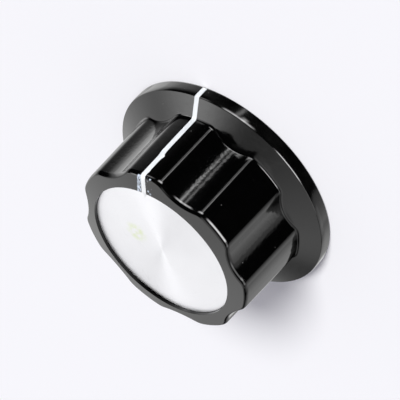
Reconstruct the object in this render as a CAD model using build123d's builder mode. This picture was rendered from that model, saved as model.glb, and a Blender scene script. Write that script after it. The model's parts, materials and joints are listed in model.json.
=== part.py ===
from build123d import *
import os
from math import radians, tan

# Skirted control knob with a spun inlay disc, a brass shaft bush and a painted pointer line.
# The origin is the centre of the skirt's back face, +Z runs along the shaft axis towards the
# inlay disc, and the pointer line faces -Y. Lengths are in millimetres, slopes in degrees.

# Skirt: flat back, short cylindrical rim, conical front face that is this wide up to the grip
skirt_diameter = 38.0
skirt_width = 3.4
rim_height = 2.25
skirt_slope = 25.3
rim_edge_break = 0.25

# Fluted grip, with a ring this wide between its lobes and the disc
overall_height = 17.45
ring_width = 3.15
grip_draft = 1.0
flute_count = 7
flute_radius = 9.0
flute_depth = 1.17
lobe_edge_round = 2.4
ring_slope = 12.0
ring_edge_break = 0.4
grip_foot_round = 0.3

# Inlay disc, set below the lip of the front ring
disc_thickness = 0.8
disc_depth = 0.57
disc_clearance = 0.05
disc_edge_break = 0.1

# Pointer line: paint in an engraved groove
line_width = 0.8
line_depth = 0.3

# Nut recess in the back, over the nut that holds the control to its panel
nut_recess_diameter = 18.0
nut_recess_depth = 4.6
nut_recess_edge_break = 0.4

# Shaft bush, with a groove that keys it into the moulding and a web of moulding in front of it
shaft_diameter = 6.35
shaft_clearance = 0.02
bush_diameter = 12.0
front_web = 2.68
bush_edge_break = 0.3
bush_groove_width = 1.2
bush_groove_depth = 0.7
bush_groove_place = 1.2
mould_clearance = 0.02

# Set screw, sunk in the flute opposite the pointer line, this share of the way up the bush
screw_diameter = 4.0
screw_sink = 2.6
screw_place_share = 0.568
screw_setback = 0.3
screw_edge_break = 0.4
slot_width = 0.7
slot_depth = 1.1
thread_clearance = 0.05
screw_hole_clearance = 0.3

# How far cutting shapes run past what they cut
cut_overrun = 1.0

# Worked-out sizes
skirt_radius = skirt_diameter / 2
grip_radius = skirt_radius - skirt_width
skirt_rise = tan(radians(skirt_slope))
draft_rate = tan(radians(grip_draft))
ring_fall = tan(radians(ring_slope))
foot_height = rim_height + skirt_width * skirt_rise
grip_root_radius = grip_radius + foot_height * draft_rate
flute_center = grip_root_radius - flute_depth + flute_radius
cone_inner_radius = grip_radius - 2 * flute_depth
cone_inner_height = rim_height + (skirt_radius - cone_inner_radius) * skirt_rise
recess_radius = grip_radius - ring_width
disc_radius = recess_radius - disc_clearance
disc_floor = overall_height - disc_depth - disc_thickness
ring_apex = overall_height + recess_radius * ring_fall
ring_edge_height = (ring_apex - grip_root_radius * ring_fall) / (1 - draft_rate * ring_fall)
ring_edge_radius = grip_root_radius - ring_edge_height * draft_rate
bore_radius = shaft_diameter / 2 + shaft_clearance
bush_radius = bush_diameter / 2
bush_floor = nut_recess_depth
bush_top = disc_floor - front_web
bush_length = bush_top - bush_floor
screw_radius = screw_diameter / 2
screw_tip = bore_radius + screw_setback
screw_height = bush_floor + bush_length * screw_place_share
screw_length = grip_root_radius - screw_height * draft_rate - flute_depth - screw_sink - screw_tip

pointer_plane = Plane(origin=(0, 0, 0), x_dir=(0, -1, 0), z_dir=(-1, 0, 0))
screw_plane = Plane(origin=(0, screw_tip, screw_height), x_dir=(1, 0, 0), z_dir=(0, 1, 0))
screw_axis_plane = Plane(origin=(0, 0, screw_height), x_dir=(1, 0, 0), z_dir=(0, 1, 0))


def bush_section(gap):
    """Half section of the bush's outside, grown by a gap where the moulding grips it."""
    groove_floor = bush_radius - bush_groove_depth
    groove_low = bush_floor + bush_groove_place + gap
    groove_high = groove_low + bush_groove_width - 2 * gap
    with BuildSketch(Plane.XZ) as section:
        with BuildLine():
            Polyline(
                (0, bush_floor),
                (bush_radius + gap, bush_floor),
                (bush_radius + gap, groove_low),
                (groove_floor + gap, groove_low),
                (groove_floor + gap, groove_high),
                (bush_radius + gap, groove_high),
                (bush_radius + gap, bush_top),
                (0, bush_top),
                close=True,
            )
        make_face()
    return section.sketch


os.makedirs("parts", exist_ok=True)

# Moulding before its pointer groove is cut
with BuildPart() as blank:
    # Lobed grip, drawn in towards the front by the mould's draft
    with BuildSketch():
        Circle(grip_root_radius)
        with PolarLocations(flute_center, flute_count, start_angle=90):
            Circle(flute_radius, mode=Mode.SUBTRACT)
    extrude(amount=overall_height + cut_overrun, taper=grip_draft)
    fillet(blank.edges().group_by(Axis.Z)[1], lobe_edge_round)

    # Front ring, which falls away from the lip around the disc
    with BuildSketch(Plane.XZ):
        with BuildLine():
            Polyline(
                (0, 0),
                (skirt_radius, 0),
                (skirt_radius, ring_apex - skirt_radius * ring_fall),
                (recess_radius, overall_height),
                (0, overall_height),
                close=True,
            )
        make_face()
    revolve(axis=Axis.Z, mode=Mode.INTERSECT)
    ring_face = blank.faces().filter_by(GeomType.CONE).sort_by(Axis.Z)[-1]
    edges_below_lip_and_seam = ring_face.edges().sort_by(Axis.Z)[:-2]
    chamfer(edges_below_lip_and_seam, ring_edge_break)

    # Skirt, whose conical face runs on under the flutes
    with BuildSketch(Plane.XZ) as skirt_section:
        with BuildLine():
            Polyline(
                (0, 0),
                (skirt_radius, 0),
                (skirt_radius, rim_height),
                (cone_inner_radius, cone_inner_height),
                (0, cone_inner_height),
                close=True,
            )
        make_face()
        chamfer(skirt_section.vertices().group_by(Axis.X)[-1], rim_edge_break)
    revolve(axis=Axis.Z)
    skirt_face = blank.faces().filter_by(GeomType.CONE).sort_by(Axis.Z)[0]
    edges_above_rim_and_seam = skirt_face.edges().sort_by(Axis.Z)[2:]
    fillet(edges_above_rim_and_seam, grip_foot_round)

    # Seats of the disc, the panel nut, the bush and the set screw
    with BuildSketch(Plane.XY.offset(disc_floor)):
        Circle(recess_radius)
    extrude(amount=overall_height - disc_floor, mode=Mode.SUBTRACT)
    with BuildSketch():
        Circle(nut_recess_diameter / 2)
    extrude(amount=nut_recess_depth, mode=Mode.SUBTRACT)
    back_circles = blank.edges().filter_by(GeomType.CIRCLE).group_by(Axis.Z)[0]
    chamfer(back_circles.sort_by(SortBy.RADIUS)[0], nut_recess_edge_break)
    add(revolve(bush_section(mould_clearance), axis=Axis.Z, mode=Mode.PRIVATE), mode=Mode.SUBTRACT)
    with BuildSketch(screw_axis_plane):
        Circle(screw_radius + screw_hole_clearance)
    extrude(amount=skirt_radius, mode=Mode.SUBTRACT)

# Groove cutter: a slice across the pointer's side, less everything deeper than the groove
with BuildPart() as groove:
    with BuildSketch(pointer_plane):
        with Locations((recess_radius - cut_overrun, -cut_overrun)):
            Rectangle(skirt_radius, overall_height + 2 * cut_overrun, align=(Align.MIN, Align.MIN))
    extrude(amount=line_width / 2, both=True)
    with BuildSketch(pointer_plane):
        with BuildLine():
            Polyline(
                (0, -2 * cut_overrun),
                (skirt_radius, -2 * cut_overrun),
                (skirt_radius, rim_height),
                (grip_radius, foot_height),
                (ring_edge_radius, ring_edge_height),
                (recess_radius, overall_height),
                (0, overall_height),
                close=True,
            )
        make_face()
        offset(amount=-line_depth, kind=Kind.INTERSECTION)
    extrude(amount=line_width, both=True, mode=Mode.SUBTRACT)

# White paint that fills the groove flush
with BuildPart() as pointer_line:
    add(blank.part)
    add(groove.part, mode=Mode.INTERSECT)
pointer_line.part.label = "pointer_line"
export_step(pointer_line.part, "parts/pointer_line.step")

# Black moulding with its groove
with BuildPart() as knob_body:
    add(blank.part)
    add(groove.part, mode=Mode.SUBTRACT)
knob_body.part.label = "knob_body"
export_step(knob_body.part, "parts/knob_body.step")

# Spun aluminium disc, with its rim broken by a small chamfer
with BuildPart() as inlay_disc:
    with BuildSketch(Plane.XY.offset(disc_floor)):
        Circle(disc_radius)
    extrude(amount=disc_thickness)
    chamfer(inlay_disc.edges().group_by(Axis.Z)[-1], disc_edge_break)
inlay_disc.part.label = "inlay_disc"
export_step(inlay_disc.part, "parts/inlay_disc.step")

# Brass bush, bored for the shaft and tapped for the set screw
with BuildPart() as shaft_bush:
    add(revolve(bush_section(0), axis=Axis.Z, mode=Mode.PRIVATE))
    with BuildSketch(Plane.XY.offset(bush_floor)):
        Circle(bore_radius)
    extrude(amount=bush_length, mode=Mode.SUBTRACT)
    chamfer(shaft_bush.faces().sort_by(Axis.Z)[0].inner_wires()[0].edges(), bush_edge_break)
    with BuildSketch(screw_axis_plane):
        Circle(screw_radius + thread_clearance)
    extrude(amount=bush_diameter, mode=Mode.SUBTRACT)
shaft_bush.part.label = "shaft_bush"
export_step(shaft_bush.part, "parts/shaft_bush.step")

# Slotted set screw, backed off until its tip clears the bore
with BuildPart() as set_screw:
    with BuildSketch(screw_plane):
        Circle(screw_radius)
    extrude(amount=screw_length)
    chamfer(set_screw.edges().filter_by(GeomType.CIRCLE), screw_edge_break)
    with BuildSketch(screw_plane.offset(screw_length)):
        Rectangle(screw_diameter, slot_width)
    extrude(amount=-slot_depth, mode=Mode.SUBTRACT)
set_screw.part.label = "set_screw"
export_step(set_screw.part, "parts/set_screw.step")
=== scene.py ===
import json
from math import acos, asin, atan2, cos, hypot, pi, radians, sin, tan

import bmesh
import bpy
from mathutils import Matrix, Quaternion, Vector

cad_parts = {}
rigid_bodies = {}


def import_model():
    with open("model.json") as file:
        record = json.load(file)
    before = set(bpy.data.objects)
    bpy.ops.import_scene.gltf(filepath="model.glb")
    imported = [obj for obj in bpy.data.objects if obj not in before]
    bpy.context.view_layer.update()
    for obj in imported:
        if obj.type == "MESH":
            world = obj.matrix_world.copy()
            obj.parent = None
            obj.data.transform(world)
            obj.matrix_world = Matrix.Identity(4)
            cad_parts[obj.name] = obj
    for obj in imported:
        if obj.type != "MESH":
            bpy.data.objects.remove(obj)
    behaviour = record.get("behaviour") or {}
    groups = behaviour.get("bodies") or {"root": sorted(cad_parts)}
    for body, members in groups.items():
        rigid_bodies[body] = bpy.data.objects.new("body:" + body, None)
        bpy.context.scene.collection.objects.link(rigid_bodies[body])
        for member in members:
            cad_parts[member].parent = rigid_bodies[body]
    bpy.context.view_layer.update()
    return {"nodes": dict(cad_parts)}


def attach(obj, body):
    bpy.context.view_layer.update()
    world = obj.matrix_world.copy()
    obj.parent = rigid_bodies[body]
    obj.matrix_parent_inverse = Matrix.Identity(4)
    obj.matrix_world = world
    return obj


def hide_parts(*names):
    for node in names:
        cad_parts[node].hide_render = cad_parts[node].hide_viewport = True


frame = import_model()
print("frame loaded:", sorted(frame["nodes"]))

# pieces are shaped in millimetres and scaled to metres at the end
mm = 0.001
slack = 0.01  # places closer than this count as the same
weldGap = 0.001  # doubles closer than this are merged
closeGap = 0.002  # and so are the two ends of a drawn outline


# small helpers for edit mode

def point(x, y, z):
    return Vector((x, y, z))


def polar(radius, angle):
    return radius * cos(angle), radius * sin(angle)


def around(place):
    return hypot(place.x, place.y)


def editing(on):
    bpy.ops.object.mode_set(mode="EDIT" if on else "OBJECT")


def deselectObjects():
    bpy.ops.object.select_all(action="DESELECT")


def makeActive(piece):
    deselectObjects()
    piece.select_set(True)
    bpy.context.view_layer.objects.active = piece


def pick(kind, test, borderOnly=False):
    # select what lies wholly where the test says
    bpy.ops.mesh.select_mode(type=kind)
    bpy.ops.mesh.select_all(action="DESELECT")
    mesh = bmesh.from_edit_mesh(bpy.context.object.data)
    parts = {"VERT": mesh.verts, "EDGE": mesh.edges, "FACE": mesh.faces}[kind]
    for part in parts:
        if borderOnly and not part.is_boundary:
            continue
        ends = [part] if kind == "VERT" else part.verts
        if all(test(end.co) for end in ends):
            part.select_set(True)
    mesh.select_flush_mode()
    bmesh.update_edit_mesh(bpy.context.object.data)


def pickBorder(test):
    pick("EDGE", test, borderOnly=True)


def arc(centre, angle, steps):
    # spin turns clockwise for a positive angle
    bpy.ops.mesh.spin(steps=steps, angle=-angle, center=point(*centre, 0), axis=(0, 0, 1))


def quarterEllipse(edge):
    # from the plain wall round to the face above it: how far in, how far below that face
    for step in range(edge["steps"] + 1):
        turn = step / edge["steps"] * pi / 2
        yield edge["inset"] * (1 - cos(turn)), edge["drop"] * (1 - sin(turn))


def seatOnCone(tip, slope):
    # the selected points go up or down onto a cone about the knob's axis
    mesh = bmesh.from_edit_mesh(bpy.context.object.data)
    for vert in mesh.verts:
        if vert.select:
            vert.co.z = tip - around(vert.co) * slope
    bmesh.update_edit_mesh(bpy.context.object.data)


def roundLoop(radius, height):
    # flatten the selected loop, make it a circle and bring it to its size and height
    bpy.ops.transform.resize(value=(1, 1, 0), center_override=point(0, 0, height))
    bpy.ops.transform.tosphere(value=1, center_override=point(0, 0, height))
    mesh = bmesh.from_edit_mesh(bpy.context.object.data)
    grow = radius / next(around(vert.co) for vert in mesh.verts if vert.select)
    bpy.ops.transform.resize(value=(grow, grow, 1), center_override=(0, 0, 0))


def nextLoop(radius, height):
    bpy.ops.mesh.extrude_edges_move()
    roundLoop(radius, height)


def closeLoop():
    bpy.ops.mesh.extrude_edges_move()
    bpy.ops.mesh.merge(type="CENTER")


def roundEdge(test, width, steps):
    pick("EDGE", test)
    bpy.ops.mesh.bevel(offset=width, offset_type="OFFSET", segments=steps, profile=0.5, affect="EDGES")


def faceOut():
    bpy.ops.mesh.select_all(action="SELECT")
    bpy.ops.mesh.remove_doubles(threshold=weldGap)
    bpy.ops.mesh.normals_make_consistent(inside=False)


def finishPiece(piece, angle):
    makeActive(piece)
    bpy.ops.object.shade_smooth_by_angle(angle=radians(angle))
    weigh = piece.modifiers.new("evenShading", "WEIGHTED_NORMAL")
    weigh.keep_sharp = True
    bpy.ops.object.modifier_apply(modifier=weigh.name)
    piece.scale = (mm, mm, mm)
    bpy.ops.object.transform_apply(location=True, rotation=True, scale=True)


# knob body: a fluted, drafted grip on a conical skirt

knob = {
    "skirtRadius": 19.0,
    "rimHeight": 2.25,
    "skirtSlope": 25.3,  # degrees
    "gripRadius": 15.75,
    "draft": 1.65,  # degrees
    "flutes": 7,
    "fluteRadius": 9.0,
    "fluteDepth": 1.17,
    "lobeRound": 2.4,
    "height": 17.45,
    "ringSlope": 12.0,  # degrees
    "lipRadius": 12.45,
    "discSeat": 16.08,
    "nutRadius": 9.0,
    "nutDepth": 4.6,
    "bushSeatRadius": 6.02,
    "bushSeatDepth": 13.4,
    # small roundings: width, segments
    "footRound": (0.3, 4),
    "rimBackRound": (0.25, 4),
    "lipRound": (0.06, 2),
    "nutMouthRound": (0.4, 3),
    "screwMouthRound": (0.18, 2),
    # long roundings, quarter ellipses that reach further down the wall than in
    "ringEdge": {"drop": 0.8, "inset": 0.36, "steps": 9},
    "rimEdge": {"drop": 0.95, "inset": 0.12, "steps": 10},
    # screwdriver hole, drilled from inner to outer; its mouth lies beyond mouthFrom
    "screwHole": {
        "radius": 2.3,
        "height": 9.598,
        "inner": 4.0,
        "outer": 18.0,
        "mouthFrom": 12.0,
        "sides": 64,
    },
    # fineness of the mesh
    "wallRows": 9,
    "lobeSteps": 6,
    "roundSteps": 5,
    "fluteSteps": 16,
    "smoothAngle": 36,  # degrees
}

# course of the pointer line and its groove, which stray to a side as the painter's hand did
pointer = {
    "width": 0.8,
    "depth": 0.25,
    "onRing": -0.11,
    "onWall": 0.17,  # up to turnsAt, and above that none
    "onSkirt": 0.1,
    "straysMost": 0.2,
    "turnsAt": 12.0,
    "ringFrom": 16.75,  # the ring lies above this height
    "ringBehind": -15.2,  # and behind this y
    "footSlack": 0.2,
    "lipShare": 0.8,  # of the lip's rounding, left bare
    "columnFrom": -9.5,  # the column of faces lies in front of this y
    "columnSlack": 0.006,  # radians
    "leanFrom": -12.0,  # and strays in front of this y
}

ringEdge = knob["ringEdge"]
screwHole = knob["screwHole"]
draftRise = tan(radians(knob["draft"]))
skirtRise = tan(radians(knob["skirtSlope"]))
ringRise = tan(radians(knob["ringSlope"]))
skirtTip = knob["rimHeight"] + knob["skirtRadius"] * skirtRise
ringTip = knob["height"] + knob["lipRadius"] * ringRise
footHeight = skirtTip - knob["gripRadius"] * skirtRise
rootRadius = knob["gripRadius"] + footHeight * draftRise
fluteReach = rootRadius - knob["fluteDepth"] + knob["fluteRadius"]
ringEdgeHeight = (ringTip - rootRadius * ringRise) / (1 - draftRise * ringRise)
halfLine = pointer["width"] / 2
columnAngle = asin(halfLine / rootRadius)


def drawOutline(height, inset=0):
    # one vertex carried in arcs round the lobes and flutes, from the left side of the pointer line
    lobe = rootRadius - height * draftRise - inset
    flute = knob["fluteRadius"] + height * draftRise + inset
    half = pi / knob["flutes"]
    inner = lobe - knob["lobeRound"]
    outer = flute + knob["lobeRound"]
    turn = acos((inner**2 + fluteReach**2 - outer**2) / (2 * inner * fluteReach))
    sweep = asin(inner * sin(turn) / outer)
    strip = asin(halfLine / lobe)
    side = half - turn - strip
    start = polar(lobe, -pi / 2 - strip)
    bpy.ops.mesh.merge(type="CENTER")
    bpy.ops.transform.translate(value=point(*start, 0))
    for lobeNumber in range(knob["flutes"]):
        middle = -pi / 2 + 2 * half * lobeNumber
        arc((0, 0), 2 * strip, 1)
        arc((0, 0), side, knob["lobeSteps"])
        arc(polar(inner, middle + half - turn), turn + sweep, knob["roundSteps"])
        arc(polar(fluteReach, middle + half), -2 * sweep, knob["fluteSteps"])
        arc(polar(inner, middle + half + turn), turn + sweep, knob["roundSteps"])
        arc((0, 0), side, knob["lobeSteps"])
    bpy.ops.mesh.select_linked()
    bpy.ops.mesh.remove_doubles(threshold=closeGap)


def onSkirt(place):
    return abs(place.z - skirtTip + around(place) * skirtRise) < slack


def onGripFoot(place):
    return onSkirt(place) and around(place) < (knob["gripRadius"] + knob["skirtRadius"]) / 2


def onRingEdge(place):
    # the top of the plain wall, where the ring's rounded edge starts
    return abs(place.z - ringTip + ringEdge["drop"] + around(place) * ringRise) < slack


def onCircle(radius, height):
    return lambda place: abs(around(place) - radius) < slack and abs(place.z - height) < slack


def onScrewHole(place):
    fromAxis = hypot(place.x, place.z - screwHole["height"])
    return place.y > screwHole["mouthFrom"] and abs(fromAxis - screwHole["radius"]) < slack


def lineMiddle(place):
    # how far aside the line runs here
    if place.z > pointer["ringFrom"] and place.y > pointer["ringBehind"]:
        return pointer["onRing"]
    if place.z > pointer["turnsAt"]:
        return 0
    return pointer["onWall"] if place.z > footHeight - pointer["footSlack"] else pointer["onSkirt"]


def onColumnSide(place, side):
    turned = atan2(place.x, -place.y)
    return place.y < pointer["columnFrom"] and abs(turned - side * columnAngle) < pointer["columnSlack"]


def straysBy(place, shift):
    onSide = abs(abs(place.x) - halfLine) < slack
    return onSide and place.y < pointer["leanFrom"] and lineMiddle(place) == shift


def onLine(place):
    # the painted column: over the ring, down the wall, over the skirt and the rim
    lipRound = knob["lipRound"][0]
    rimBackRound = knob["rimBackRound"][0]
    return (
        abs(place.x) < halfLine + pointer["straysMost"]
        and abs(place.x - lineMiddle(place)) < halfLine + slack
        and place.y < -knob["lipRadius"] - pointer["lipShare"] * lipRound
        and place.z > rimBackRound - slack
    )


# wall and ring edge, from outlines that are bridged
deselectObjects()
bpy.ops.mesh.primitive_plane_add(size=1)
knobBody = bpy.context.object
knobBody.name = "knobBody"
editing(True)
bpy.ops.mesh.delete(type="VERT")
for inset, drop in quarterEllipse(ringEdge):
    bpy.ops.mesh.primitive_plane_add(size=1)
    drawOutline(ringEdgeHeight - drop, inset)
    seatOnCone(ringTip - drop, ringRise)
bpy.ops.mesh.select_all(action="SELECT")
bpy.ops.mesh.bridge_edge_loops()
bpy.ops.mesh.primitive_plane_add(size=1)
drawOutline(footHeight)
seatOnCone(skirtTip, skirtRise)
pick("EDGE", lambda place: onSkirt(place) or onRingEdge(place))
bpy.ops.mesh.bridge_edge_loops(number_cuts=knob["wallRows"], interpolation="LINEAR")

# ring and disc seat, from the top of the wall inwards
pickBorder(lambda place: place.z > knob["height"] / 2)
nextLoop(knob["lipRadius"], knob["height"])
nextLoop(knob["lipRadius"], knob["discSeat"])
nextLoop(knob["bushSeatRadius"], knob["discSeat"])
closeLoop()

# skirt, rim, back and the bush seat, from the foot outwards
pickBorder(lambda place: place.z < knob["height"] / 2)
for inset, drop in reversed(list(quarterEllipse(knob["rimEdge"]))):
    radius = knob["skirtRadius"] - inset
    nextLoop(radius, skirtTip - radius * skirtRise - drop)
nextLoop(knob["skirtRadius"], 0)
nextLoop(knob["nutRadius"], 0)
nextLoop(knob["nutRadius"], knob["nutDepth"])
nextLoop(knob["bushSeatRadius"], knob["nutDepth"])
nextLoop(knob["bushSeatRadius"], knob["bushSeatDepth"])
closeLoop()
faceOut()

roundEdge(onGripFoot, *knob["footRound"])
roundEdge(onCircle(knob["skirtRadius"], 0), *knob["rimBackRound"])
roundEdge(onCircle(knob["lipRadius"], knob["height"]), *knob["lipRound"])
roundEdge(onCircle(knob["nutRadius"], 0), *knob["nutMouthRound"])

# the column under the pointer line gets straight sides, then strays, and is sunk as the groove
for side in (1, -1):
    pick("VERT", lambda place: onColumnSide(place, side))
    bpy.ops.transform.resize(value=(0, 1, 1), center_override=point(side * halfLine, 0, 0))
for shift in (pointer["onSkirt"], pointer["onWall"], pointer["onRing"]):
    pick("VERT", lambda place: straysBy(place, shift))
    bpy.ops.transform.translate(value=(shift, 0, 0))
pick("FACE", onLine)
bpy.ops.mesh.duplicate()
bpy.ops.mesh.separate(type="SELECTED")
pick("FACE", onLine)
bpy.ops.mesh.extrude_region_shrink_fatten(
    TRANSFORM_OT_shrink_fatten={"value": -pointer["depth"], "use_even_offset": True}
)
editing(False)
pointerPaint = next(other for other in bpy.context.selected_objects if other != knobBody)
pointerPaint.name = "pointerPaint"

# screwdriver hole in the flute opposite the line
deselectObjects()
bpy.ops.mesh.primitive_cylinder_add(
    vertices=screwHole["sides"],
    radius=screwHole["radius"],
    depth=screwHole["outer"] - screwHole["inner"],
    location=point(0, (screwHole["outer"] + screwHole["inner"]) / 2, screwHole["height"]),
    rotation=(pi / 2, 0, 0),
)
drill = bpy.context.object
makeActive(knobBody)
cut = knobBody.modifiers.new("screwHole", "BOOLEAN")
cut.object = drill
cut.operation = "DIFFERENCE"
cut.solver = "EXACT"
bpy.ops.object.modifier_apply(modifier=cut.name)
bpy.data.objects.remove(drill)
editing(True)
roundEdge(onScrewHole, *knob["screwMouthRound"])
faceOut()
editing(False)
finishPiece(knobBody, knob["smoothAngle"])
print("knob body:", len(knobBody.data.polygons), "faces")

# pointer line: white paint that fills the groove, laid by hand
paint = {
    "depth": 0.2,
    "cuts": 3,
    "bead": 0.03,  # how far the middle stands proud
    "beadSteps": ((0.8, 0.6), (0.3, 0.4)),  # share of the half width, share of the bead
    "edgeLift": 0.012,
    "uneven": 0.018,
    "seed": 4,
    "edgeFrom": -15.0,  # the uneven edges lie in front of this y
    # stretches of the left edge that ran over: from height, to height, how far
    "spills": ((11.8, 12.1, 0.22), (12.1, 12.4, 0.15), (12.4, 12.8, 0.04), (15.3, 15.9, 0.07)),
    "spillShare": 0.76,  # of the half width; what lies further out runs over
    # the drip over the lip, which starts behind dripFrom: y, z, share of the width, x
    "dripFrom": -12.6,
    "drip": (
        (-12.37, 17.43, 1.0, -0.08),
        (-12.33, 16.96, 0.95, -0.02),
        (-12.05, 16.92, 0.85, 0.05),
        (-11.55, 16.915, 0.5, 0.25),
        (-11.05, 16.9, 0.12, 0.45),
    ),
    "dripCurve": 0.1,
    "smoothAngle": 50,  # degrees
}

makeActive(pointerPaint)
editing(True)
faceOut()
bpy.ops.mesh.subdivide(number_cuts=paint["cuts"])
for share, lift in paint["beadSteps"]:
    pick("VERT", lambda place: abs(place.x - lineMiddle(place)) < share * halfLine)
    bpy.ops.transform.shrink_fatten(value=paint["bead"] * lift)
edgeReach = paint["spillShare"] * halfLine
for low, high, reach in paint["spills"]:
    pick("VERT", lambda place: lineMiddle(place) - place.x > edgeReach and low < place.z < high)
    bpy.ops.transform.translate(value=(-reach, 0, 0))
pickBorder(lambda place: place.y > paint["dripFrom"])
for y, z, share, x in paint["drip"]:
    bpy.ops.mesh.extrude_edges_move()
    mesh = bmesh.from_edit_mesh(pointerPaint.data)
    for vert in mesh.verts:
        if vert.select:
            across = (vert.co.x - pointer["onRing"]) / halfLine
            vert.co = point(x + across * share * halfLine, y + paint["dripCurve"] * across**2, z)
    bmesh.update_edit_mesh(pointerPaint.data)
pickBorder(lambda place: place.y < paint["edgeFrom"])
bpy.ops.transform.vertex_random(offset=paint["uneven"], seed=paint["seed"])
bpy.ops.transform.shrink_fatten(value=paint["edgeLift"])
editing(False)
thick = pointerPaint.modifiers.new("paintDepth", "SOLIDIFY")
thick.thickness = paint["depth"]
thick.offset = -1
bpy.ops.object.modifier_apply(modifier=thick.name)
finishPiece(pointerPaint, paint["smoothAngle"])
print("pointer line:", len(pointerPaint.data.polygons), "faces")

# spun aluminium disc
disc = {
    "radius": 12.4,
    "bottom": 16.08,
    "top": 16.88,
    "edgeRound": (0.1, 3),  # width, segments
    "sides": 256,
    "smoothAngle": 36,  # degrees
}

deselectObjects()
bpy.ops.mesh.primitive_circle_add(
    vertices=disc["sides"],
    radius=disc["radius"],
    fill_type="NOTHING",
    location=point(0, 0, disc["bottom"]),
)
spunDisc = bpy.context.object
spunDisc.name = "spunDisc"
editing(True)
bpy.ops.mesh.select_all(action="SELECT")
bpy.ops.mesh.edge_face_add()
thickness = disc["top"] - disc["bottom"]
bpy.ops.mesh.extrude_region_move(TRANSFORM_OT_translate={"value": point(0, 0, thickness)})
roundEdge(lambda place: place.z > disc["top"] - slack, *disc["edgeRound"])
faceOut()
editing(False)
bpy.ops.object.transform_apply(location=True, rotation=True, scale=True)
finishPiece(spunDisc, disc["smoothAngle"])
print("disc:", len(spunDisc.data.polygons), "faces")


# shader helpers; places are in millimetres

def feed(tree, value, socket):
    # a number or a colour is set on the socket, an output is linked to it
    if isinstance(value, (int, float)):
        socket.default_value = value
    elif isinstance(value, tuple):
        socket.default_value = (*value, 1)
    else:
        tree.links.new(value, socket)


def mathNode(tree, kind, *values):
    node = tree.nodes.new("ShaderNodeMath")
    node.operation = kind
    for value, socket in zip(values, node.inputs):
        feed(tree, value, socket)
    return node.outputs[0]


def times(tree, first, *others):
    for value in others:
        first = mathNode(tree, "MULTIPLY", first, value)
    return first


def plus(tree, first, *others):
    for value in others:
        first = mathNode(tree, "ADD", first, value)
    return first


def minus(tree, first, second):
    return mathNode(tree, "SUBTRACT", first, second)


def between(tree, value, low, high):
    # low where the value is 0, high where it is 1
    return plus(tree, times(tree, value, high - low), low)


def distanceNode(tree, x, y):
    return mathNode(tree, "SQRT", plus(tree, times(tree, x, x), times(tree, y, y)))


def fadeNode(tree, value, near, far):
    # 1 up to near, 0 from far on
    node = tree.nodes.new("ShaderNodeMapRange")
    node.interpolation_type = "SMOOTHSTEP"
    amounts = {"Value": value, "From Min": near, "From Max": far, "To Min": 1, "To Max": 0}
    for name, amount in amounts.items():
        feed(tree, amount, node.inputs[name])
    return node.outputs["Result"]


def bandNode(tree, value, middle, half, blur):
    # 1 inside a band, fading to 0 over the blur
    return fadeNode(tree, mathNode(tree, "ABSOLUTE", minus(tree, value, middle)), half, half + blur)


def noiseNode(tree, place, size, detail, kind="3D"):
    node = tree.nodes.new("ShaderNodeTexNoise")
    node.noise_dimensions = kind
    feed(tree, place, node.inputs["W" if kind == "1D" else "Vector"])
    node.inputs["Scale"].default_value = 1 / size
    node.inputs["Detail"].default_value = detail
    return node.outputs["Fac"]


def stretchNode(tree, place, scale, turn=(0, 0, 0)):
    node = tree.nodes.new("ShaderNodeMapping")
    feed(tree, place, node.inputs["Vector"])
    node.inputs["Rotation"].default_value = [radians(angle) for angle in turn]
    node.inputs["Scale"].default_value = scale
    return node.outputs["Vector"]


def mixNode(tree, mask, first, second):
    node = tree.nodes.new("ShaderNodeMix")
    node.data_type = "RGBA"
    for value, place in ((mask, 0), (first, 6), (second, 7)):  # factor and the two colours
        feed(tree, value, node.inputs[place])
    return node.outputs[2]


def splitNode(tree, place):
    node = tree.nodes.new("ShaderNodeSeparateXYZ")
    feed(tree, place, node.inputs[0])
    return node.outputs


def bumpNode(tree, height, depth):
    # depth in millimetres
    node = tree.nodes.new("ShaderNodeBump")
    node.inputs["Distance"].default_value = depth * mm
    feed(tree, height, node.inputs["Height"])
    return node.outputs["Normal"]


def newGroup(name, inputs, output):
    group = bpy.data.node_groups.new(name, "ShaderNodeTree")
    for socket in inputs:
        kind = "NodeSocketVector" if socket in ("Place", "Direction") else "NodeSocketFloat"
        group.interface.new_socket(name=socket, in_out="INPUT", socket_type=kind)
    group.interface.new_socket(name=output, in_out="OUTPUT", socket_type="NodeSocketFloat")
    given = group.nodes.new("NodeGroupInput").outputs
    return group, given, group.nodes.new("NodeGroupOutput").inputs[output]


def useGroup(tree, group, *values):
    node = tree.nodes.new("ShaderNodeGroup")
    node.node_tree = group
    for value, socket in zip(values, node.inputs):
        feed(tree, value, socket)
    return node.outputs[0]


# groups that several finishes share

noiseMiddle = 0.5
specks = {"solidShare": 0.4}
mottle = {"detail": 3}
scratches = {
    "grains": (((20, 35, 60), (0.12, 1, 1)), ((-50, 15, -20), (1, 0.1, 1))),  # turn in degrees, stretch
    "breakSize": 1.7,
    "breakFade": (0.42, 0.56),
}


def speckGroup():
    # scattered round specks: one in each chosen cell
    group, given, made = newGroup("dustSpecks", ("Place", "Spacing", "Size", "Share"), "Mask")
    cells = group.nodes.new("ShaderNodeTexVoronoi")
    feed(group, given["Place"], cells.inputs["Vector"])
    feed(group, mathNode(group, "DIVIDE", 1.0, given["Spacing"]), cells.inputs["Scale"])
    chance, weight, _ = splitNode(group, cells.outputs["Color"])
    chosen = mathNode(group, "LESS_THAN", chance, given["Share"])
    reach = mathNode(group, "DIVIDE", given["Size"], given["Spacing"])
    dot = fadeNode(group, cells.outputs["Distance"], times(group, reach, specks["solidShare"]), reach)
    feed(group, times(group, chosen, dot, weight), made)
    return group


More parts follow.
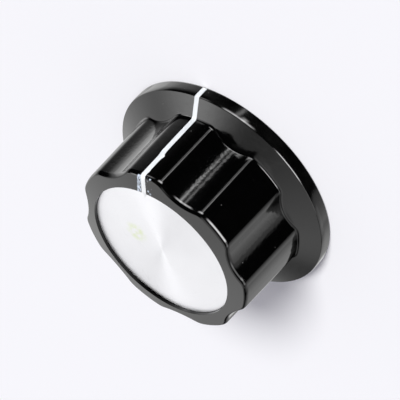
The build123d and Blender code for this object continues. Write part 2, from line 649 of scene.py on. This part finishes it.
def mottleGroup():
    # soft uneven patches from 0 to 1
    group, given, made = newGroup("softMottle", ("Place", "Size", "Contrast"), "Value")
    clouds = group.nodes.new("ShaderNodeTexNoise")
    feed(group, given["Place"], clouds.inputs["Vector"])
    feed(group, mathNode(group, "DIVIDE", 1.0, given["Size"]), clouds.inputs["Scale"])
    clouds.inputs["Detail"].default_value = mottle["detail"]
    swing = times(group, minus(group, clouds.outputs["Fac"], noiseMiddle), given["Contrast"])
    value = plus(group, swing, noiseMiddle)
    feed(group, mathNode(group, "MINIMUM", mathNode(group, "MAXIMUM", value, 0), 1), made)
    return group


def scratchGroup():
    # hairlines where a stretched noise crosses its middle value
    group, given, made = newGroup("hairScratches", ("Place", "Size", "Width"), "Mask")
    scaled = group.nodes.new("ShaderNodeVectorMath")
    scaled.operation = "DIVIDE"
    feed(group, given["Place"], scaled.inputs[0])
    feed(group, given["Size"], scaled.inputs[1])
    place = scaled.outputs[0]
    lines = []
    for turn, stretch in scratches["grains"]:
        grain = noiseNode(group, stretchNode(group, place, stretch, turn), 1, 1)
        offMiddle = mathNode(group, "ABSOLUTE", minus(group, grain, noiseMiddle))
        lines.append(fadeNode(group, offMiddle, 0, given["Width"]))
    shown = fadeNode(group, noiseNode(group, place, scratches["breakSize"], 1), *scratches["breakFade"])
    feed(group, times(group, mathNode(group, "MAXIMUM", *lines), shown), made)
    return group


def turningGroup():
    # uneven rings about the Z axis, as a tool leaves them
    group, given, made = newGroup("turnedRings", ("Place", "Spacing"), "Value")
    x, y, _ = splitNode(group, given["Place"])
    radius = mathNode(group, "DIVIDE", distanceNode(group, x, y), given["Spacing"])
    feed(group, noiseNode(group, radius, 1, 2, "1D"), made)
    return group


dustSpecks = speckGroup()
softMottle = mottleGroup()
hairScratches = scratchGroup()
turnedRings = turningGroup()


def newMaterial(name):
    material = bpy.data.materials.new(name)
    material.use_nodes = True
    tree = material.node_tree
    place = tree.nodes.new("ShaderNodeVectorMath")
    place.operation = "SCALE"
    place.inputs["Scale"].default_value = 1 / mm
    feed(tree, tree.nodes.new("ShaderNodeTexCoord").outputs["Object"], place.inputs[0])
    return material, tree, tree.nodes["Principled BSDF"].inputs, place.outputs[0]


def dress(piece, material):
    piece.data.materials.clear()
    piece.data.materials.append(material)


# in the finishes below: clouds, streaks, lumps and blotches are size, contrast; hairs are size, width;
# dust, specks and spots are spacing, size, share of the cells; bands are middle, half width, blur

# glossy black moulding with dust, hairlines and a smear of the white paint beside the line
blackPlastic = {
    "colour": (0.0004, 0.0004, 0.00045),
    "gloss": (0.06, 0.1),
    "clouds": (2.2, 2.5),
    "dustColour": (0.2, 0.2, 0.19),
    "dust": (1.1, 0.13, 0.16),
    "dustShare": 0.35,
    "hairs": (5.0, 0.004),
    "hairShare": 0.012,
    "filmHeight": (1.6, 2.6),  # full below the first, none above the second
    "filmShare": 0.012,
    "dulling": 0.4,  # roughness that dust and wiped paint add
    # waves of the surface: size, depth
    "peel": (0.9, 0.0055),
    "ripple": (0.45, 0.0085),
    "rippleRadius": (14.75, 15.1),  # full inside the first, none outside the second
    "rippleBand": (9.5, 4.5, 1.5),  # by height
    # paint wiped off the ring on one side of the line, and spots of it on the other
    "smearColour": (0.58, 0.65, 0.76),
    "ringBand": (17.6, 0.9, 0.15),  # by height
    "frontBand": (-13.9, 1.6, 0.1),  # by y
    "wipedBand": (0.66, 0.28, 0.16),  # by x
    "borderBand": (0.9, 0.06, 0.1),
    "borderShare": 0.5,
    "drift": 0.08,  # sideways, for each millimetre inwards
    "streaks": (0.42, 5.0),
    "streakStretch": (3.2, 0.9, 1),
    "spots": (0.5, 0.24, 0.6),
    "spotBand": (-1.2, 0.35, 0.15),
}


def paintSmear(tree, look, place):
    x, y, z = splitNode(tree, place)
    ringFront = times(tree, bandNode(tree, z, *look["ringBand"]), bandNode(tree, y, *look["frontBand"]))
    streaks = useGroup(tree, softMottle, stretchNode(tree, place, look["streakStretch"]), *look["streaks"])
    aside = minus(tree, x, times(tree, minus(tree, y, look["frontBand"][0]), look["drift"]))
    border = times(tree, bandNode(tree, aside, *look["borderBand"]), look["borderShare"])
    wiped = bandNode(tree, aside, *look["wipedBand"])
    smear = times(tree, wiped, mathNode(tree, "MAXIMUM", streaks, border))
    spots = useGroup(tree, dustSpecks, place, *look["spots"])
    spots = times(tree, spots, bandNode(tree, x, *look["spotBand"]))
    return times(tree, mathNode(tree, "MAXIMUM", smear, spots), ringFront)


def mouldedWaves(tree, look, place):
    # orange peel all over, and finer ripples in the flutes, as a height in millimetres
    x, y, z = splitNode(tree, place)
    peelSize, peelDepth = look["peel"]
    rippleSize, rippleDepth = look["ripple"]
    peel = times(tree, noiseNode(tree, place, peelSize, 1), peelDepth)
    inFlute = fadeNode(tree, distanceNode(tree, x, y), *look["rippleRadius"])
    inFlute = times(tree, inFlute, bandNode(tree, z, *look["rippleBand"]))
    ripple = minus(tree, noiseNode(tree, place, rippleSize, 1), noiseMiddle)
    return plus(tree, peel, times(tree, ripple, inFlute, rippleDepth))


def blackMouldingMaterial(look):
    material, tree, shader, place = newMaterial("blackMoulding")
    clouds = useGroup(tree, softMottle, place, *look["clouds"])
    dust = useGroup(tree, dustSpecks, place, *look["dust"])
    hairs = useGroup(tree, hairScratches, place, *look["hairs"])
    white = paintSmear(tree, look, place)

    # a thin dusty film low on the rim
    low = fadeNode(tree, splitNode(tree, place)[2], *look["filmHeight"])
    film = times(tree, low, clouds, look["filmShare"])
    grime = plus(tree, times(tree, dust, look["dustShare"]), times(tree, hairs, look["hairShare"]), film)

    dusty = mixNode(tree, grime, look["colour"], look["dustColour"])
    feed(tree, mixNode(tree, white, dusty, look["smearColour"]), shader["Base Color"])
    dull = times(tree, mathNode(tree, "MAXIMUM", white, dust), look["dulling"])
    feed(tree, plus(tree, between(tree, clouds, *look["gloss"]), dull), shader["Roughness"])
    feed(tree, bumpNode(tree, mouldedWaves(tree, look, place), 1), shader["Normal"])
    return material


# hand-laid white paint: slightly uneven, cooler where it is thin, and darkened on the wall below the ring
# as painted shade
whiteLine = {
    "thick": (0.74, 0.745, 0.75),
    "thinAndShaded": (0.55, 0.585, 0.615),
    "streaks": (0.8, 3.0),
    "streakStretch": (3, 0.6, 0.6),
    "streakThinning": 0.4,
    # painted shade: the paint on the wall below the ring is darkened towards the thin colour
    "wallShade": 0.3,
    "wallHeight": (16.5, 16.9),  # full below the first, none above the second
    "specks": (0.7, 0.06, 0.15),
    "speckColour": (0.3, 0.3, 0.3),
    "speckShare": 0.4,
    "lumps": (0.6, 2.0),
    "rough": (0.35, 0.5),
    "ridge": 0.012,
}


def whitePaintMaterial(look):
    material, tree, shader, place = newMaterial("whitePaint")
    streaks = useGroup(tree, softMottle, stretchNode(tree, place, look["streakStretch"]), *look["streaks"])
    lumps = useGroup(tree, softMottle, place, *look["lumps"])
    dots = useGroup(tree, dustSpecks, place, *look["specks"])
    onWall = fadeNode(tree, splitNode(tree, place)[2], *look["wallHeight"])
    # painted shade on the wall's paint, plus the streaks where the paint is thin
    thinAndShaded = times(tree, onWall, look["wallShade"])
    thinAndShaded = plus(tree, thinAndShaded, times(tree, streaks, look["streakThinning"]))
    white = mixNode(tree, thinAndShaded, look["thick"], look["thinAndShaded"])
    dots = times(tree, dots, look["speckShare"])
    feed(tree, mixNode(tree, dots, white, look["speckColour"]), shader["Base Color"])
    feed(tree, between(tree, lumps, *look["rough"]), shader["Roughness"])
    feed(tree, bumpNode(tree, lumps, look["ridge"]), shader["Normal"])
    return material


# spun aluminium: fine rings about the middle, and a faint yellow-green stain
spunMetal = {
    "bright": (0.64, 0.64, 0.66),
    "dark": (0.6, 0.6, 0.62),
    "ringSpacing": 0.16,
    "ringShare": 0.8,
    "ringDepth": 0.0012,
    "wornColour": (0.3, 0.3, 0.3),
    "hairs": (3.0, 0.004),
    "hairShare": 0.12,
    "specks": (1.3, 0.08, 0.12),
    "speckShare": 0.5,
    "stainColour": (0.5, 0.57, 0.3),
    "stainPlace": (4.6, -1.7),
    "stainRadius": (0.45, 2.4),  # full inside the first, none outside the second
    "stainShare": 0.8,
    "blotches": (0.9, 4.0),
    "clouds": (3.0, 2.0),
    "rough": (0.32, 0.36),
    "anisotropy": 0.85,
    "anisotropyTurn": 0.25,  # spread across the rings
}


def spunAluminiumMaterial(look):
    material, tree, shader, place = newMaterial("spunAluminium")
    rings = useGroup(tree, turnedRings, place, look["ringSpacing"])
    clouds = useGroup(tree, softMottle, place, *look["clouds"])
    hairs = useGroup(tree, hairScratches, place, *look["hairs"])
    dots = useGroup(tree, dustSpecks, place, *look["specks"])

    x, y, _ = splitNode(tree, place)
    stainX, stainY = look["stainPlace"]
    fromStain = distanceNode(tree, minus(tree, x, stainX), minus(tree, y, stainY))
    blotches = useGroup(tree, softMottle, place, *look["blotches"])
    stain = times(tree, fadeNode(tree, fromStain, *look["stainRadius"]), blotches, look["stainShare"])

    metal = mixNode(tree, times(tree, rings, look["ringShare"]), look["bright"], look["dark"])
    worn = plus(tree, times(tree, hairs, look["hairShare"]), times(tree, dots, look["speckShare"]))
    metal = mixNode(tree, worn, metal, look["wornColour"])
    feed(tree, mixNode(tree, stain, metal, look["stainColour"]), shader["Base Color"])
    feed(tree, between(tree, clouds, *look["rough"]), shader["Roughness"])
    feed(tree, bumpNode(tree, rings, look["ringDepth"]), shader["Normal"])
    shader["Metallic"].default_value = 1
    shader["Anisotropic"].default_value = look["anisotropy"]
    shader["Anisotropic Rotation"].default_value = look["anisotropyTurn"]
    tangent = tree.nodes.new("ShaderNodeTangent")
    tangent.direction_type = "RADIAL"
    tangent.axis = "Z"
    feed(tree, tangent.outputs[0], shader["Tangent"])
    return material


# turned metals of the bush and the grub screw
turnedBush = {
    "name": "turnedBrass",
    "bright": (0.74, 0.55, 0.27),
    "tarnish": (0.42, 0.27, 0.11),
    "tarnishShare": 0.55,
    "clouds": (1.8, 3.0),
    "axisTurn": (0, 0, 0),  # degrees
    "ringSpacing": 0.22,
    "ringShare": 0.25,
    "ringDepth": 0.004,
    "hairs": (2.0, 0.008),
    "hairShare": 0.5,
    "rough": (0.22, 0.42),
}
grubScrew = {
    **turnedBush,
    "name": "screwSteel",
    "bright": (0.42, 0.42, 0.44),
    "tarnish": (0.12, 0.11, 0.11),
    "axisTurn": (90, 0, 0),
    "ringSpacing": 0.18,
    "ringDepth": 0.003,
    "rough": (0.25, 0.45),
}


def turnedMetalMaterial(look):
    material, tree, shader, place = newMaterial(look["name"])
    upright = stretchNode(tree, place, (1, 1, 1), look["axisTurn"])
    rings = useGroup(tree, turnedRings, upright, look["ringSpacing"])
    clouds = useGroup(tree, softMottle, place, *look["clouds"])
    hairs = useGroup(tree, hairScratches, place, *look["hairs"])
    metal = mixNode(tree, times(tree, clouds, look["tarnishShare"]), look["bright"], look["tarnish"])
    metal = mixNode(tree, times(tree, rings, look["ringShare"]), metal, look["tarnish"])
    metal = mixNode(tree, times(tree, hairs, look["hairShare"]), metal, look["bright"])
    feed(tree, metal, shader["Base Color"])
    feed(tree, between(tree, clouds, *look["rough"]), shader["Roughness"])
    feed(tree, bumpNode(tree, rings, look["ringDepth"]), shader["Normal"])
    shader["Metallic"].default_value = 1
    return material


dress(knobBody, blackMouldingMaterial(blackPlastic))
dress(pointerPaint, whitePaintMaterial(whiteLine))
dress(spunDisc, spunAluminiumMaterial(spunMetal))
dress(frame["nodes"]["shaft_bush"], turnedMetalMaterial(turnedBush))
dress(frame["nodes"]["set_screw"], turnedMetalMaterial(grubScrew))
print("finishes:", [material.name for material in bpy.data.materials if material.use_nodes])

for piece, node, slot in (
    (knobBody, "knob_body", "black_moulding"),
    (pointerPaint, "pointer_line", "white_paint"),
    (spunDisc, "inlay_disc", "spun_aluminium"),
):
    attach(piece, "root")
    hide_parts(node)

# pale floor
ground = {"size": 4, "colour": (0.86, 0.86, 0.87), "glow": (0.02, 0.015, 0.035), "roughness": 0.8}

deselectObjects()
bpy.ops.mesh.primitive_plane_add(size=ground["size"])
floor = bpy.context.object
floor.name = "floor"
paleFloor = bpy.data.materials.new("paleFloor")
paleFloor.use_nodes = True
shader = paleFloor.node_tree.nodes["Principled BSDF"].inputs
shader["Base Color"].default_value = (*ground["colour"], 1)
shader["Roughness"].default_value = ground["roughness"]
shader["Specular IOR Level"].default_value = 0
shader["Emission Color"].default_value = (*ground["glow"], 1)
shader["Emission Strength"].default_value = 1
dress(floor, paleFloor)
floor.visible_glossy = False

# studio that the glossy faces mirror, by direction in degrees: azimuth 0 faces the pointer line and
# 90 lies to its right; each soft box: azimuth, elevation, half width, half height, blur, strength
softBoxes = {
    "farWall": (120, -24, 46, 104, 7, 0.68),
    "farTop": (137, 39.5, 31, 36, 45, 1.26),
    "sideWall": (-125, -20, 17.5, 44, 3.8, 0.5),
    "sideTop": (-162, 8, 27, 76, 35, 1.1),
    "sideLow": (-133, -14, 16, 15.3, 1.5, 0.37),
    "leftLow": (68, -47.5, 22, 3, 23, 7.4),
    "leftStrip": (98, -15, 13, 20, 4, 0.66),
    "keyLight": (84, 50, 9, 17, 13, 3.9),
    "stripNear": (-12.6, -16, 2.0, 12.3, 3.0, 7.8),
    "stripFar": (-4.2, -28, 1.6, 24, 2.2, 3.4),
    "edgeRight": (-68, -3, 16, 9, 5, 16.0),
    "edgeEnd": (-100, -1, 17, 7, 5, 2.8),
    "edgeMiddle": (-8, -12, 15, 8, 4, 8.5),
    "edgeHook": (30, -12, 7, 5, 3, 3.0),
    "edgeLeft": (54, 34, 6, 12, 3, 5.0),
    "keyLow": (50, 46, 16, 12, 8, 2.4),
    "discGlow": (111, 58, 10, 5, 2.5, 2.6),
    "overhead": (-88, 62, 58, 28, 12, 1.2),
    "darkDoor": (191, 4, 46, 18, 22, -1.1),  # takes light away
}
studio = {
    "darkest": 0.008,
    "roomColour": (0.93, 0.93, 1.0),  # even light on matt faces
    "roomStrength": 0.26,
    "backdropColour": (0.93, 0.92, 0.98),
}


def softBoxGroup():
    sockets = ("Direction", "Azimuth", "Elevation", "Half Width", "Half Height", "Blur", "Strength")
    group, given, made = newGroup("softBox", sockets, "Light")
    right, back, up = splitNode(group, given["Direction"])
    bearing = mathNode(group, "DEGREES", mathNode(group, "ARCTAN2", right, times(group, back, -1)))
    rise = mathNode(group, "DEGREES", mathNode(group, "ARCSINE", up))
    across = mathNode(group, "WRAP", minus(group, bearing, given["Azimuth"]), 180, -180)
    above = minus(group, rise, given["Elevation"])
    light = given["Strength"]
    for offset, half in ((across, given["Half Width"]), (above, given["Half Height"])):
        near = minus(group, half, given["Blur"])
        far = plus(group, half, given["Blur"])
        light = times(group, light, fadeNode(group, mathNode(group, "ABSOLUTE", offset), near, far))
    feed(group, light, made)
    return group


def backgroundNode(tree, colour, strength):
    node = tree.nodes.new("ShaderNodeBackground")
    feed(tree, colour, node.inputs["Color"])
    feed(tree, strength, node.inputs["Strength"])
    return node.outputs[0]


def chooseShader(tree, choice, no, yes):
    node = tree.nodes.new("ShaderNodeMixShader")
    for value, socket in zip((choice, no, yes), node.inputs):
        feed(tree, value, socket)
    return node.outputs[0]


world = bpy.data.worlds.new("studio")
bpy.context.scene.world = world
world.use_nodes = True
world.cycles.sampling_method = "NONE"
tree = world.node_tree
tree.nodes.remove(tree.nodes["Background"])
facing = tree.nodes.new("ShaderNodeTexCoord").outputs["Generated"]
softBox = softBoxGroup()
total = studio["darkest"]
for numbers in softBoxes.values():
    total = plus(tree, useGroup(tree, softBox, facing, *numbers), total)
boxes = backgroundNode(tree, mathNode(tree, "MAXIMUM", total, 0), 1)
room = backgroundNode(tree, studio["roomColour"], studio["roomStrength"])
backdrop = backgroundNode(tree, studio["backdropColour"], 1)
rays = tree.nodes.new("ShaderNodeLightPath").outputs
lit = chooseShader(tree, rays["Is Glossy Ray"], room, boxes)
seen = chooseShader(tree, rays["Is Camera Ray"], lit, backdrop)
feed(tree, seen, tree.nodes["World Output"].inputs["Surface"])


def towards(azimuth, elevation):
    bearing = radians(azimuth)
    rise = radians(elevation)
    return point(sin(bearing) * cos(rise), -cos(bearing) * cos(rise), sin(rise))


# two soft lamps for the floor's shadow and the paint; angles in degrees
lamps = {
    "softLamp": {"azimuth": -14, "elevation": 38, "softness": 22, "strength": 3.35},
    "topLamp": {"azimuth": -36, "elevation": 70, "softness": 40, "strength": 0.55},
}

for name, lamp in lamps.items():
    source = towards(lamp["azimuth"], lamp["elevation"])
    bpy.ops.object.light_add(type="SUN", location=source)
    light = bpy.context.object
    light.name = name
    light.rotation_mode = "QUATERNION"
    light.rotation_quaternion = source.to_track_quat("Z", "Y")
    light.data.angle = radians(lamp["softness"])
    light.data.energy = lamp["strength"]
    light.visible_glossy = False
print("studio:", len(softBoxes), "soft boxes,", len(lamps), "lamps")

# camera at the photo's angle; aim, distance, lens and sensor in millimetres, angles in degrees
shot = {
    "aim": (0.095, -1.494, 6.753),
    "azimuth": -37.992,
    "elevation": 29.881,
    "roll": -136.689,
    "distance": 289.089,
    "lens": 171,
    "sensor": 36,
    "clip": (10, 10000),
}

back = towards(shot["azimuth"], shot["elevation"])
bpy.ops.object.camera_add(location=(point(*shot["aim"]) + back * shot["distance"]) * mm)
camera = bpy.context.object
roll = Quaternion((0, 0, 1), radians(shot["roll"]))
camera.rotation_mode = "QUATERNION"
camera.rotation_quaternion = back.to_track_quat("Z", "Y") @ roll
camera.data.lens = shot["lens"]
camera.data.sensor_width = shot["sensor"]
camera.data.clip_start, camera.data.clip_end = [length * mm for length in shot["clip"]]
bpy.context.scene.camera = camera
bpy.context.scene.view_settings.view_transform = "Standard"
print("camera:", shot["distance"], "mm away")
